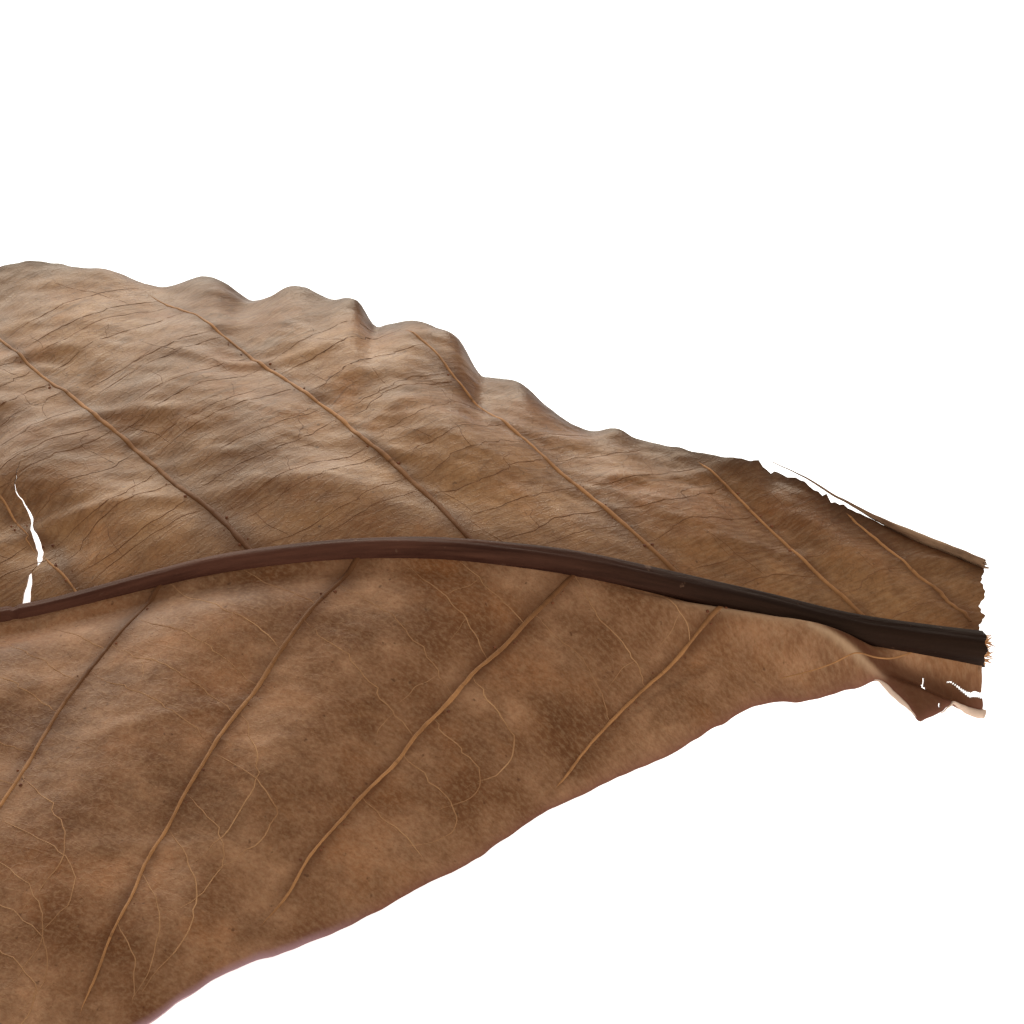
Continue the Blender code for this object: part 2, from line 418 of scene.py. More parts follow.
def turned_to_rungs(flat):
    """The flat map turned so that its first length runs along the rungs between side veins, which
    lean by the slope, and mirrored on the near half."""
    distance, reach = flat[:, 0], np.abs(flat[:, 1])
    slope = 0.7
    turned = np.stack([distance - slope * reach, reach + slope * distance], axis=-1)
    return turned / np.hypot(1, slope)


def put_mesh(name, points, faces, materials, flat, face_material=None, attributes=()):
    """A piece from points and faces. flat holds each point's two lengths, which become its place on
    the flat map, and attributes holds a name and a number for each point."""
    mesh = bpy.data.meshes.new(name)
    mesh.from_pydata(points.tolist(), [], faces)
    for finish in materials:
        mesh.materials.append(finish)
    if face_material is not None:
        mesh.polygons.foreach_set("material_index", face_material.astype(np.int32))
    corner_point = np.empty(len(mesh.loops), np.int32)
    mesh.loops.foreach_get("vertex_index", corner_point)
    for label, placed in (("flat", flat), ("rungs", turned_to_rungs(flat))):
        layer = mesh.uv_layers.new(name=label)
        layer.data.foreach_set("uv", (placed[corner_point] / UV_METRES).astype(np.float32).ravel())
    for label, values in attributes:
        made = mesh.attributes.new(label, "FLOAT", "POINT")
        made.data.foreach_set("value", values.astype(np.float32).ravel())
    mesh.shade_smooth()
    mesh.set_sharp_from_angle(angle=np.radians(60))
    piece = bpy.data.objects.new(name, mesh)
    bpy.context.scene.collection.objects.link(piece)
    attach(piece, BODY)
    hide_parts(NODE)
    return piece


def sheet_faces(kept):
    """Quads of a closed sheet over a grid, for the cells that are kept: the upper face, the lower
    face and a wall wherever a kept cell has no kept neighbour. Also says which are the lower ones."""
    rows, columns = kept.shape[0] + 1, kept.shape[1] + 1
    index = np.arange(rows * columns).reshape(rows, columns)
    below = rows * columns
    a, b, c, d = index[:-1, :-1], index[:-1, 1:], index[1:, 1:], index[1:, :-1]
    upper = np.stack([a, b, c, d], axis=-1)[kept]
    padded = np.pad(kept, 1)
    sides = (
        (a, b, padded[:-2, 1:-1]),
        (b, c, padded[1:-1, 2:]),
        (c, d, padded[2:, 1:-1]),
        (d, a, padded[1:-1, :-2]),
    )
    walls = []
    for start, end, neighbour in sides:
        open_side = kept & ~neighbour
        first, second = start[open_side], end[open_side]
        walls.append(np.stack([second, first, first + below, second + below], axis=-1))
    wall = np.concatenate(walls)
    faces = np.concatenate([upper, upper[:, ::-1] + below, wall])
    is_lower = np.concatenate([np.zeros(len(upper)), np.ones(len(upper)), np.zeros(len(wall))])
    return faces.tolist(), is_lower


def ring_faces(paths, rings, sides):
    """Quads round each path of rings, and one face to close each end."""
    index = np.arange(paths * rings * sides).reshape(paths, rings, sides)
    turned = np.roll(index, -1, axis=2)
    quads = np.stack([index[:, :-1], index[:, 1:], turned[:, 1:], turned[:, :-1]], axis=-1)
    return quads.reshape(-1, 4).tolist() + index[:, 0].tolist() + index[:, -1, ::-1].tolist()


def cords_on_blade(
    name, distance, across, half_wide, height, sides, material, sink=0.3, paler=0.0
):
    """Raised cords that lie on the blade, one for each row of the arrays.

    The section is an ellipse across the path: half_wide to each side and height up and down, sunk
    into the blade by a share of its height. The attribute run goes from 0 to 1 along each cord, with
    paler added to it.
    """
    centre, normal = blade_point(distance, across, BLADE_THICKNESS / 2)
    heading = unit(np.gradient(centre, axis=1))
    side = unit(np.cross(heading, normal))
    angle = np.linspace(0, 2 * np.pi, sides, endpoint=False)
    wide = half_wide[..., None] * np.cos(angle)
    high = height[..., None] * (np.sin(angle) - sink)
    sideways = side[:, :, None] * wide[..., None]
    upwards = normal[:, :, None] * high[..., None]
    points = centre[:, :, None] + sideways + upwards
    flat = np.stack([distance, across], axis=-1)[:, :, None] + np.zeros((sides, 1))
    run = np.linspace(0, 1, distance.shape[1])[None, :, None] + np.zeros((len(distance), 1, sides))
    run = run + np.reshape(paler, (-1, 1, 1))
    return put_mesh(
        name, points.reshape(-1, 3), ring_faces(*distance.shape, sides), [material],
        flat.reshape(-1, 2), attributes=[("run", run)],
    )


# ---------------------------------------------------------------- finishes


class Finish:
    """A material and short ways to add nodes to it."""

    def __init__(self, name):
        self.material = bpy.data.materials.new(name)
        self.material.use_nodes = True
        self.nodes = self.material.node_tree.nodes
        self.links = self.material.node_tree.links
        self.shader = self.nodes["Principled BSDF"]
        self.flat = self.add("UVMap", uv_map="flat").outputs["UV"]
        self.rungs = self.add("UVMap", uv_map="rungs").outputs["UV"]

    def add(self, kind, inputs=None, **settings):
        """One node. A value in inputs is either a socket to link or a constant."""
        node = self.nodes.new("ShaderNode" + kind)
        for setting, value in settings.items():
            setattr(node, setting, value)
        for socket, value in (inputs or {}).items():
            self.give(node.inputs[socket], value)
        return node

    def give(self, socket, value):
        """Links a socket to this one, or sets it to a constant."""
        if isinstance(value, bpy.types.NodeSocket):
            self.links.new(value, socket)
        else:
            socket.default_value = value

    def noise(self, length, detail=4.0, rough=0.55, stretch=1.0, seed=0.0, laid=None):
        """Cloudy noise from 0 to 1 with features of about the given length in metres."""
        shift = {"Location": (seed, seed * 1.7, 0), "Scale": (1 / stretch, 1, 1)}
        placed = self.add("Mapping", {"Vector": laid or self.flat, **shift})
        look = {"Scale": UV_METRES / length, "Detail": detail, "Roughness": rough}
        return self.add("TexNoise", {"Vector": placed.outputs[0], **look}).outputs["Fac"]

    def hairlines(self, length, width, stretch, seed):
        """Fine wandering lines along the rungs: 1 where stretched noise crosses its middle value."""
        waves = self.noise(length, 2.0, 0.45, stretch, seed, self.rungs)
        off = self.maths("ABSOLUTE", self.maths("SUBTRACT", waves, 0.5))
        return self.ranged(off, 0.0, width, 1.0, 0.0)

    def net(self, length, seed, thick):
        """Lines of a net: 1 on the lines between cells of about that length, and 0 inside them."""
        bent = self.add(
            "TexNoise", {"Vector": self.flat, "Scale": UV_METRES / (2.2 * length), "Detail": 2.0}
        )
        push = {0: bent.outputs["Color"], "Scale": 0.7 * length / UV_METRES}
        pushed = self.add("VectorMath", push, operation="SCALE")
        moved = self.add("VectorMath", {0: self.flat, 1: pushed.outputs[0]}, operation="ADD")
        placed = self.add("Mapping", {"Vector": moved.outputs[0], "Location": (seed, seed, 0)})
        cell = {"Vector": placed.outputs[0], "Scale": UV_METRES / length}
        cells = self.add("TexVoronoi", cell, feature="DISTANCE_TO_EDGE")
        return self.ranged(cells.outputs["Distance"], 0.0, thick, 1.0, 0.0)

    def ranged(self, value, low, high, to_low=0.0, to_high=1.0):
        """value moved from the range low to high into the range to_low to to_high, kept inside it."""
        inputs = {"Value": value, "From Min": low, "From Max": high, "To Min": to_low, "To Max": to_high}
        return self.add("MapRange", inputs).outputs[0]

    def maths(self, operation, first, second=0.0):
        """One sum on two numbers."""
        return self.add("Math", {0: first, 1: second}, operation=operation).outputs[0]

    def mix(self, factor, first, second, blend="MIX"):
        """Colour first, moved towards second by factor."""
        node = self.add("Mix", data_type="RGBA", blend_type=blend)
        self.give(node.inputs[0], factor)
        self.give(node.inputs[6], first)
        self.give(node.inputs[7], second)
        return node.outputs[2]

    def number(self, label):
        """A number kept for each point of the mesh."""
        return self.add("Attribute", attribute_name=label).outputs["Fac"]

    def bump(self, layers):
        """Fine relief: each layer is a height from 0 to 1 and its depth in metres."""
        normal = None
        for height, depth in layers:
            inputs = {"Height": height, "Distance": depth, "Strength": 1.0}
            if normal is not None:
                inputs["Normal"] = normal
            normal = self.add("Bump", inputs).outputs[0]
        self.give(self.shader.inputs["Normal"], normal)
        return normal

    def surface(self, colour, roughness, **constants):
        """Sets the shader's colour, roughness and other constants, and gives back the material."""
        self.give(self.shader.inputs["Base Color"], colour)
        self.give(self.shader.inputs["Roughness"], roughness)
        for socket, value in constants.items():
            self.shader.inputs[socket.replace("_", " ")].default_value = value
        return self.material


def rgb(red, green, blue):
    """A colour given by its display values from 0 to 255, as the linear numbers a shader takes."""
    parts = np.array([red, green, blue]) / 255
    linear = np.where(parts <= 0.04045, parts / 12.92, ((parts + 0.055) / 1.055) ** 2.4)
    return (*linear.tolist(), 1.0)


WARM = rgb(255, 226, 184)  # the tint of shine on dry plant skin


def let_light_through(finish, colour, share, normal):
    """Mixes in a share of light that passes through the thin blade."""
    through = finish.add("BsdfTranslucent", {"Color": colour, "Normal": normal})
    mixed = finish.add("MixShader", {0: share, 1: finish.shader.outputs[0], 2: through.outputs[0]})
    finish.links.new(mixed.outputs[0], finish.nodes["Material Output"].inputs["Surface"])


def blade_finish(
    name, cloud_length, tones, line_colour, line_strength, edge_colour, silk_stretch, shine
):
    """The underside: brown parchment, clouded between two tones, with a silky grain and hair-fine veins
    along the rungs, darker beside the side veins and at the edge. The veins' line colour is painted
    shade on the far half and painted light on the near half. The darkening beside the side veins is
    partly the blade's own tint and partly painted shade. The bent corner carries painted shade, the near
    ridge and crease carry a painted highlight, and the edge beneath the rolled strip carries painted
    shadow."""
    f = Finish(name)
    clouds = f.ranged(f.noise(cloud_length, 4.0, 0.55, seed=1.3), 0.35, 0.66)
    colour = f.mix(clouds, *tones)
    warm = f.ranged(f.noise(13 * MM, 4.0, 0.6, seed=4.1), 0.5, 0.74, 0.0, 0.5)
    colour = f.mix(warm, colour, rgb(164, 98, 48))
    smudge = f.ranged(f.noise(12 * MM, 6.0, 0.66, seed=7.7), 0.48, 0.66, 0.0, 0.7)
    colour = f.mix(smudge, colour, rgb(86, 54, 34))
    mottle = f.ranged(f.noise(3.2 * MM, 6.0, 0.7, seed=2.2), 0.38, 0.62, 0.0, 0.5)
    colour = f.mix(mottle, colour, rgb(104, 66, 40))
    silk = f.noise(0.4 * MM, 4.0, 0.65, silk_stretch, 6.0, f.rungs)
    colour = f.mix(f.ranged(silk, 0.45, 0.65, 0.0, 0.3), colour, rgb(176, 142, 108))
    colour = f.mix(f.ranged(silk, 0.45, 0.3, 0.0, 0.3), colour, rgb(88, 55, 36))
    grain = f.noise(0.26 * MM, 3.0, 0.65, seed=14.0)
    colour = f.mix(f.ranged(grain, 0.45, 0.7, 0.0, 0.28), colour, rgb(92, 58, 38))
    long_hairs = f.hairlines(3.6 * MM, 0.018, 5.0, 3.1)
    short_hairs = f.hairlines(1.8 * MM, 0.014, 2.2, 8.3)
    hairs = f.maths("MAXIMUM", long_hairs, short_hairs)
    across = f.add("SeparateXYZ", {"Vector": f.flat}).outputs["Y"]
    reach = f.maths("ABSOLUTE", across)
    clear_of_rib = f.ranged(reach, 4 * MM / UV_METRES, 18 * MM / UV_METRES, 0.3, 1.0)
    breaks = f.ranged(f.noise(6 * MM, 2.0, seed=6.6), 0.4, 0.6, 0.25, 1.0)
    broken_hairs = f.maths("MULTIPLY", hairs, f.maths("MULTIPLY", breaks, clear_of_rib))
    # line_colour on the hair-fine veins and the net: painted shade on the far half, painted light on the
    # near half
    colour = f.mix(f.maths("MULTIPLY", broken_hairs, line_strength), colour, line_colour)
    meshes = f.net(0.8 * MM, 0.7, 0.12)
    colour = f.mix(f.maths("MULTIPLY", meshes, 0.3 * line_strength), colour, line_colour)
    patchy = f.ranged(f.noise(7 * MM, 3.0, seed=5.0), 0.3, 0.7, 0.3, 0.9)
    # Darker beside the side veins: partly the blade's own tint, partly painted shade beside the raised
    # veins
    colour = f.mix(f.maths("MULTIPLY", f.number("beside_vein"), patchy), colour, rgb(84, 50, 30))
    specks = f.ranged(f.noise(0.8 * MM, 2.0, 0.5, seed=9.0), 0.68, 0.75, 0.0, 0.6)
    colour = f.mix(specks, colour, rgb(70, 42, 28))
    # Painted shade on the bent corner, which faces down and away from the light
    colour = f.mix(f.maths("MULTIPLY", f.number("facet"), 0.85), colour, rgb(76, 42, 27))
    # Painted highlight along the top of the near ridge and along the corner's crease
    colour = f.mix(f.maths("MULTIPLY", f.number("pale"), 0.6), colour, rgb(190, 158, 126))
    # Darker at the edge: the dry margin's own colour, and beneath the rolled strip also painted shadow
    colour = f.mix(f.maths("MULTIPLY", f.number("edge"), 0.9), colour, edge_colour)
    colour = f.mix(f.number("purple"), colour, rgb(176, 140, 146))
    normal = f.bump([
        (hairs, 0.009 * MM),
        (meshes, 0.010 * MM),
        (silk, 0.007 * MM * silk_stretch),
        (grain, 0.009 * MM),
    ])
    roughness = f.ranged(f.noise(5 * MM, 3.0, seed=8.0), 0.3, 0.7, 0.42, 0.58)
    f.surface(colour, roughness, Specular_IOR_Level=shine, Specular_Tint=WARM)
    let_light_through(f, f.mix(0.5, colour, rgb(190, 120, 70)), 0.1, normal)
    return f.material


def other_face_finish():
    """The face that lies downwards: smoother and redder, with the veins as fine lines."""
    f = Finish("blade_upperside")
    clouds = f.ranged(f.noise(22 * MM, 4.0, 0.55, seed=11.0), 0.35, 0.65)
    colour = f.mix(clouds, rgb(118, 74, 50), rgb(148, 102, 74))
    lines = f.net(3.0 * MM, 0.5, 0.06)
    colour = f.mix(f.maths("MULTIPLY", lines, 0.4), colour, rgb(176, 136, 104))
    colour = f.mix(f.maths("MULTIPLY", f.number("beside_vein"), 0.6), colour, rgb(170, 128, 94))
    normal = f.bump([(lines, 0.06 * MM), (f.noise(0.8 * MM, 4.0, seed=12.0), 0.06 * MM)])
    f.surface(colour, 0.5, Specular_IOR_Level=0.5)
    let_light_through(f, f.mix(0.5, colour, rgb(190, 120, 70)), 0.12, normal)
    return f.material


def rib_finish():
    """The midrib: dark purple brown with long fine grain, greyer where it has dried and worn, and darkened
    towards the base as painted shade.
    """
    f = Finish("dark_midrib")
    streaks = f.noise(0.9 * MM, 5.0, 0.6, stretch=14.0, seed=1.0)
    colour = f.mix(f.ranged(streaks, 0.35, 0.7), rgb(54, 27, 21), rgb(90, 55, 43))
    patches = f.ranged(f.noise(9 * MM, 4.0, 0.6, stretch=2.5, seed=2.0), 0.45, 0.7, 0.0, 0.6)
    colour = f.mix(patches, colour, rgb(94, 58, 46))
    # Painted shade: the midrib darkened towards the broken base
    colour = f.mix(f.maths("MULTIPLY", f.number("near_base"), 0.88), colour, rgb(18, 10, 8))
    scuffs = f.ranged(f.noise(1.3 * MM, 3.0, 0.5, seed=3.0), 0.68, 0.74, 0.0, 0.5)
    colour = f.mix(scuffs, colour, rgb(110, 82, 66))
    f.bump([(streaks, 0.14 * MM), (f.noise(0.4 * MM, 4.0, stretch=3.0, seed=4.0), 0.05 * MM)])
    return f.surface(colour, 0.62, Specular_IOR_Level=0.11, Specular_Tint=WARM)


def side_vein_finish():
    """Side veins: dark brown where they leave the midrib, paling to tan towards the edge."""
    f = Finish("side_vein")
    distance = f.add("SeparateXYZ", {"Vector": f.flat}).outputs["X"]
    far_from_base = f.ranged(distance, 0.35, 0.95, 0.0, 0.22)
    pale = f.ranged(f.maths("SUBTRACT", f.number("run"), far_from_base), 0.0, 0.3, 0.1, 1.0)
    blotch = f.ranged(f.noise(5 * MM, 4.0, 0.6, seed=1.0), 0.3, 0.55, 0.45, 1.0)
    colour = f.mix(f.maths("MULTIPLY", pale, blotch), rgb(80, 46, 27), rgb(164, 115, 73))
    dark = f.ranged(f.noise(1.6 * MM, 3.0, 0.6, seed=2.0), 0.6, 0.72, 0.0, 0.6)
    colour = f.mix(dark, colour, rgb(72, 40, 24))
    f.bump([(f.noise(0.5 * MM, 4.0, stretch=3.0, seed=3.0), 0.05 * MM)])
    return f.surface(colour, 0.62, Specular_IOR_Level=0.2, Specular_Tint=WARM)


def fine_vein_finish(name, dark, light):
    """Fine veins: a colour that drifts between two browns, and is the lighter one near the base."""
    f = Finish(name)
    distance = f.add("SeparateXYZ", {"Vector": f.flat}).outputs["X"]
    drift = f.ranged(f.noise(6 * MM, 4.0, 0.6, seed=1.0), 0.35, 0.65)
    drift = f.maths("MAXIMUM", drift, f.ranged(distance, 0.15, 0.4, 1.0, 0.0))
    f.bump([(f.noise(0.4 * MM, 3.0, seed=2.0), 0.03 * MM)])
    return f.surface(f.mix(drift, dark, light), 0.65, Specular_IOR_Level=0.15)


def rolled_finish():
    """The rolled strip of edge: greyer, weathered tan."""
    f = Finish("rolled_edge_skin")
    streaks = f.noise(0.8 * MM, 5.0, 0.6, stretch=8.0, seed=1.0)
    colour = f.mix(f.ranged(streaks, 0.35, 0.65), rgb(96, 66, 48), rgb(146, 114, 88))
    blotch = f.ranged(f.noise(3 * MM, 4.0, 0.6, seed=2.0), 0.5, 0.7, 0.0, 0.7)
    colour = f.mix(blotch, colour, rgb(70, 46, 34))
    f.bump([(streaks, 0.08 * MM)])
    return f.surface(colour, 0.6, Specular_IOR_Level=0.3, Specular_Tint=WARM)


def fibre_finish():
    """Fibres at the break: pale straw, with orange brown ends."""
    f = Finish("torn_fibre_straw")
    tint = f.ranged(f.noise(1.0 * MM, 3.0, 0.6, seed=1.0), 0.35, 0.65)
    colour = f.mix(tint, rgb(208, 166, 120), rgb(150, 86, 42))
    f.bump([(f.noise(0.3 * MM, 3.0, stretch=4.0, seed=2.0), 0.05 * MM)])
    return f.surface(colour, 0.65, Specular_IOR_Level=0.3)


# ---------------------------------------------------------------- the pieces


def edge_line(distance, far):
    """The outline: the smooth half-width with slow and quick unevenness added, weaker on the near
    half, and rags where the far half's strip of edge is torn off."""
    strength = 1.0 if far else 0.4
    slow = 0.45 * strength * unevenness(distance, distance * 0 + far, 13 * MM, 51)
    quick = 0.12 * strength * unevenness(distance, distance * 0 + far, 2.6 * MM, 52)
    near_roll = smooth_step(11 * MM, 14 * MM, distance) * (1 - smooth_step(22 * MM, 25 * MM, distance))
    rags = 0.3 * unevenness(distance, distance * 0, 1.1 * MM, 53) * near_roll * far
    fade = smooth_step(0, 12 * MM, distance) * (1 - smooth_step(192 * MM, 203 * MM, distance))
    return half_width(distance, far) + MM * ((slow + quick) * fade + rags)


def lines_along():
    """The grid's lines along the leaf: closest at the broken base, close in the base half and wider
    apart in the tip half. Two of them stand on either side of the tear's middle."""
    finest = np.linspace(0, 12 * MM, 61)
    close = np.linspace(12 * MM, 108 * MM, 225)[1:]
    wide = np.linspace(108 * MM, LEAF_LENGTH, 98)[1:]
    lines = np.concatenate([finest, close, wide])
    beside = np.searchsorted(lines, TEAR_MIDDLE)
    lines[beside - 1] = TEAR_MIDDLE - 0.02 * MM
    lines[beside] = TEAR_MIDDLE + 0.02 * MM
    return lines, beside - 1


def beside_vein(distance, across):
    """1 on a side vein, falling away as a bell shape over about 1 mm on either side, and twice as
    wide beside the midrib. The near half's first two veins have none."""
    order = vein_order(distance, across)
    nearest = np.maximum(np.round(order), np.where(across < 0, 2, 0))
    off = np.abs(order - nearest) * VEIN_SPACING
    share = np.abs(across) / half_width(distance, across >= 0)
    spread = (0.8 + 0.9 * np.exp(-np.abs(across) / (9 * MM))) * MM
    return np.exp(-((off / spread) ** 2)) * smooth_step(0.98, 0.86, share)


def bent_corner(distance, across):
    """1 on the near half's bent corner, past its crease, and 0 elsewhere: where the corner's painted shade
    lies.
    """
    off_crease = (CREASE_START - distance) / CREASE_SLANT - (np.abs(across) - CREASE_REACH)
    past_crease = smooth_step(0, 0.8 * MM, off_crease)
    by_base = smooth_step(11.4 * MM, 10.2 * MM, distance)
    clear_of_rib = smooth_step(1.8 * MM, 3.0 * MM, np.abs(across))
    return np.where(across < 0, np.maximum(past_crease, by_base) * clear_of_rib, 0)


def purple_rim(distance, from_edge):
    """0.9 in a narrow band along the near edge, 60 to 92 mm from the base, that has kept a purple
    tint, and 0 elsewhere."""
    band = np.exp(-((from_edge / (0.45 * MM)) ** 2))
    begins = smooth_step(60 * MM, 68 * MM, distance)
    ends = smooth_step(92 * MM, 84 * MM, distance)
    return 0.9 * band * begins * ends


def edge_width(distance, far):
    """How far in from the edge the blade is darkened: wider on the far half, and widest beneath the
    rolled strip, where the extra width is painted shadow of the strip."""
    strip_shadow_share = 1 - smooth_step(16 * MM, 32 * MM, distance)
    return MM * (0.5 + 1.9 * far + 0.2 * far * strip_shadow_share)


def painted_highlight_lines(distance, across):
    """1 along the near half's ridge and along the crease of its bent corner, where a pale painted
    highlight is laid, and 0 elsewhere."""
    reach = np.abs(across)
    ridge = 0.7 * np.exp(-(((reach - 2.6 * MM) / (0.5 * MM)) ** 2))
    ridge = ridge * smooth_step(14 * MM, 20 * MM, distance) * (1 - smooth_step(26 * MM, 36 * MM, distance))
    off_crease = (distance - CREASE_START) / CREASE_SLANT + reach - CREASE_REACH
    crease = np.exp(-((off_crease / (0.35 * MM)) ** 2)) * (distance < CREASE_START)
    crease = crease * smooth_step(9.5 * MM, 11 * MM, distance)
    return np.where(across < 0, np.maximum(ridge, crease), 0)


def blade_cells(distance, across, far, tear_cell):
    """Which cells of a half's grid are kept: all but the row along the tear on the far half, and all
    but the slit and the holes on the near half."""
    cell_distance = (distance[:-1, :-1] + distance[1:, 1:]) / 2
    cell_reach = np.abs(across[:-1, :-1] + across[1:, 1:]) / 2
    kept = np.ones(cell_reach.shape, bool)
    if far:
        kept[tear_cell] = cell_reach[tear_cell] > TEAR_END
        return kept
    wander = 0.12 * MM * unevenness(cell_distance, 0 * cell_distance, 2 * MM, 61)
    gap = SLIT_GAP * smooth_step(4.0 * MM, 0.5 * MM, cell_distance) ** 0.5
    kept &= np.abs(cell_reach - SLIT_REACH - wander) > gap / 2
    for hole_distance, hole_reach, half_length, half_reach in HOLES:
        off = ((cell_distance / MM - hole_distance) / half_length) ** 2
        kept &= off + ((cell_reach / MM - hole_reach) / half_reach) ** 2 > 1
    return kept


def make_blade(far, columns=120):
    """One half of the blade as a closed sheet, with the tear or the slit and holes left open. It
    reaches in under the midrib, to a little over half the midrib's half-width."""
    lines, tear_cell = lines_along()
    inner = 0.55 * rib_half_width(lines)
    outer = edge_line(lines, far)
    share = np.linspace(0, 1, columns + 1)
    reach = inner[:, None] + np.maximum(outer - inner, 0.3 * MM)[:, None] * share[None, :]
    across = reach if far else -reach[:, ::-1]
    distance = np.repeat(lines[:, None], columns + 1, axis=1)
    upper, _ = blade_point(distance, across, BLADE_THICKNESS / 2)
    lower, _ = blade_point(distance, across, -BLADE_THICKNESS / 2)
    faces, is_lower = sheet_faces(blade_cells(distance, across, far, tear_cell))
    from_edge = outer[:, None] - np.abs(across)
    shown = {
        "beside_vein": beside_vein(distance, across),
        # the bent corner's painted shade
        "facet": bent_corner(distance, across),
        # the painted highlight on the near ridge and crease
        "pale": painted_highlight_lines(distance, across),
        "purple": 0 * across if far else purple_rim(distance, from_edge),
        "edge": np.exp(-from_edge / edge_width(lines, far)[:, None]),
    }
    attributes = [(label, np.tile(values.ravel(), 2)) for label, values in shown.items()]
    points = np.concatenate([upper.reshape(-1, 3), lower.reshape(-1, 3)])
    flat = np.tile(np.stack([distance, across], axis=-1).reshape(-1, 2), (2, 1))
    name = "blade_far" if far else "blade_near"
    finishes = [BLADE_FAR if far else BLADE_NEAR, OTHER_FACE]
    return put_mesh(name, points, faces, finishes, flat, is_lower, attributes)


def rib_frame(distance):
    """The midrib's middle line, its direction, the direction across it and the way up, from the
    plain surface 1.2 mm to either side of it."""
    line = distance[:, None] + np.zeros((1, 3))
    around = np.array([-1.0, 0.0, 1.0]) * 1.2 * MM
    trio = plain_surface(line, np.broadcast_to(around, line.shape)) + PLACE
    trio[..., 2] += MM * along(RIB_LIFT, line)
    centre = trio[:, 1]
    heading = unit(np.gradient(centre, axis=0))
    over = unit(trio[:, 2] - trio[:, 0])
    up = unit(np.cross(over, heading))
    return centre, heading, np.cross(heading, up), up


def make_midrib(rings=620, sides=40):
    """The midrib: round above the blade and shallow below it, ribbed lengthwise, tapering to the
    tip. At the base it runs past the torn blade and ends in a ragged, hollowed break."""
    distance = np.linspace(RIB_START, RIB_END, rings)
    centre, heading, over, up = rib_frame(distance)
    angle = np.linspace(0, 2 * np.pi, sides, endpoint=False)[None, :]
    run = distance[:, None]
    radius = rib_half_width(np.clip(run, 0, LEAF_LENGTH))
    flare = 0.12 * np.exp(-run / (6 * MM))
    crack = 0.22 * np.exp(-(((run - RIB_CRACK) / (0.3 * MM)) ** 2))
    radius = radius * (1 + flare - crack)
    grooves = 1 + 0.025 * np.sin(7 * angle + 2.0) + 0.018 * np.sin(13 * angle + run / (9 * MM))
    grooves = grooves + 0.03 * unevenness(run, angle * 4 * MM, 6 * MM, 71, 2.5)
    close = np.sqrt(np.clip((RIB_END - run) / (6 * MM), 1e-4, 1))
    wide = radius * close * grooves * np.cos(angle)
    rise = np.where(np.sin(angle) > 0, 1.15, 0.6)
    high = radius * close * grooves * rise * np.sin(angle) - 0.05 * radius
    jag = 0.18 * MM * unevenness(angle * 3 * MM, run * 0, 2.5 * MM, 72)
    jag = jag * np.exp(-(run - RIB_START) / (0.7 * MM))
    section = over[:, None] * wide[..., None] + up[:, None] * high[..., None]
    points = clear_of_ground(centre[:, None] + section + heading[:, None] * jag[..., None])
    hollow = points[0].mean(axis=0) + heading[0] * 0.8 * MM
    inner_ring = hollow + (points[0] - points[0].mean(axis=0)) * 0.55
    flat_body = np.stack([run + 0 * angle, radius * angle], axis=-1).reshape(-1, 2)
    index = np.arange(rings * sides).reshape(rings, sides)
    turned = np.roll(index, -1, axis=1)
    quads = np.stack([index[:-1], index[1:], turned[1:], turned[:-1]], axis=-1).reshape(-1, 4)
    inner = rings * sides + np.arange(sides)
    lip = np.stack([index[0], np.roll(index[0], -1), np.roll(inner, -1), inner], axis=-1)
    tip = index[-1, ::-1].tolist()
    faces = quads.tolist() + lip.tolist() + [inner.tolist(), tip]
    is_broken = np.concatenate([np.zeros(len(quads)), np.ones(len(lip) + 1), np.zeros(1)])
    points = np.concatenate([points.reshape(-1, 3), inner_ring])
    flat = np.concatenate([flat_body, flat_body[:sides]])
    # where the midrib's painted shade lies, strongest at the base
    near_base = 1 - smooth_step(15 * MM, 70 * MM, flat[:, 0])
    attributes = [("near_base", near_base)]
    return put_mesh("midrib", points, faces, [RIB, FIBRE], flat, is_broken, attributes)


def vein_line(roots, reach, far):
    """How far along the leaf a side vein has come at each reach from the midrib: its root and lean
    times reach, less bend times reach squared, with a slight meander."""
    lean = along(FAR_LEAN if far else NEAR_LEAN, roots)
    bend = along(FAR_BEND if far else NEAR_BEND, roots)
    meander = 0.19 * MM * unevenness(reach, roots * 9, 10 * MM, 81) * smooth_step(0, 6 * MM, reach)
    return roots + lean * reach - bend * reach**2 + meander


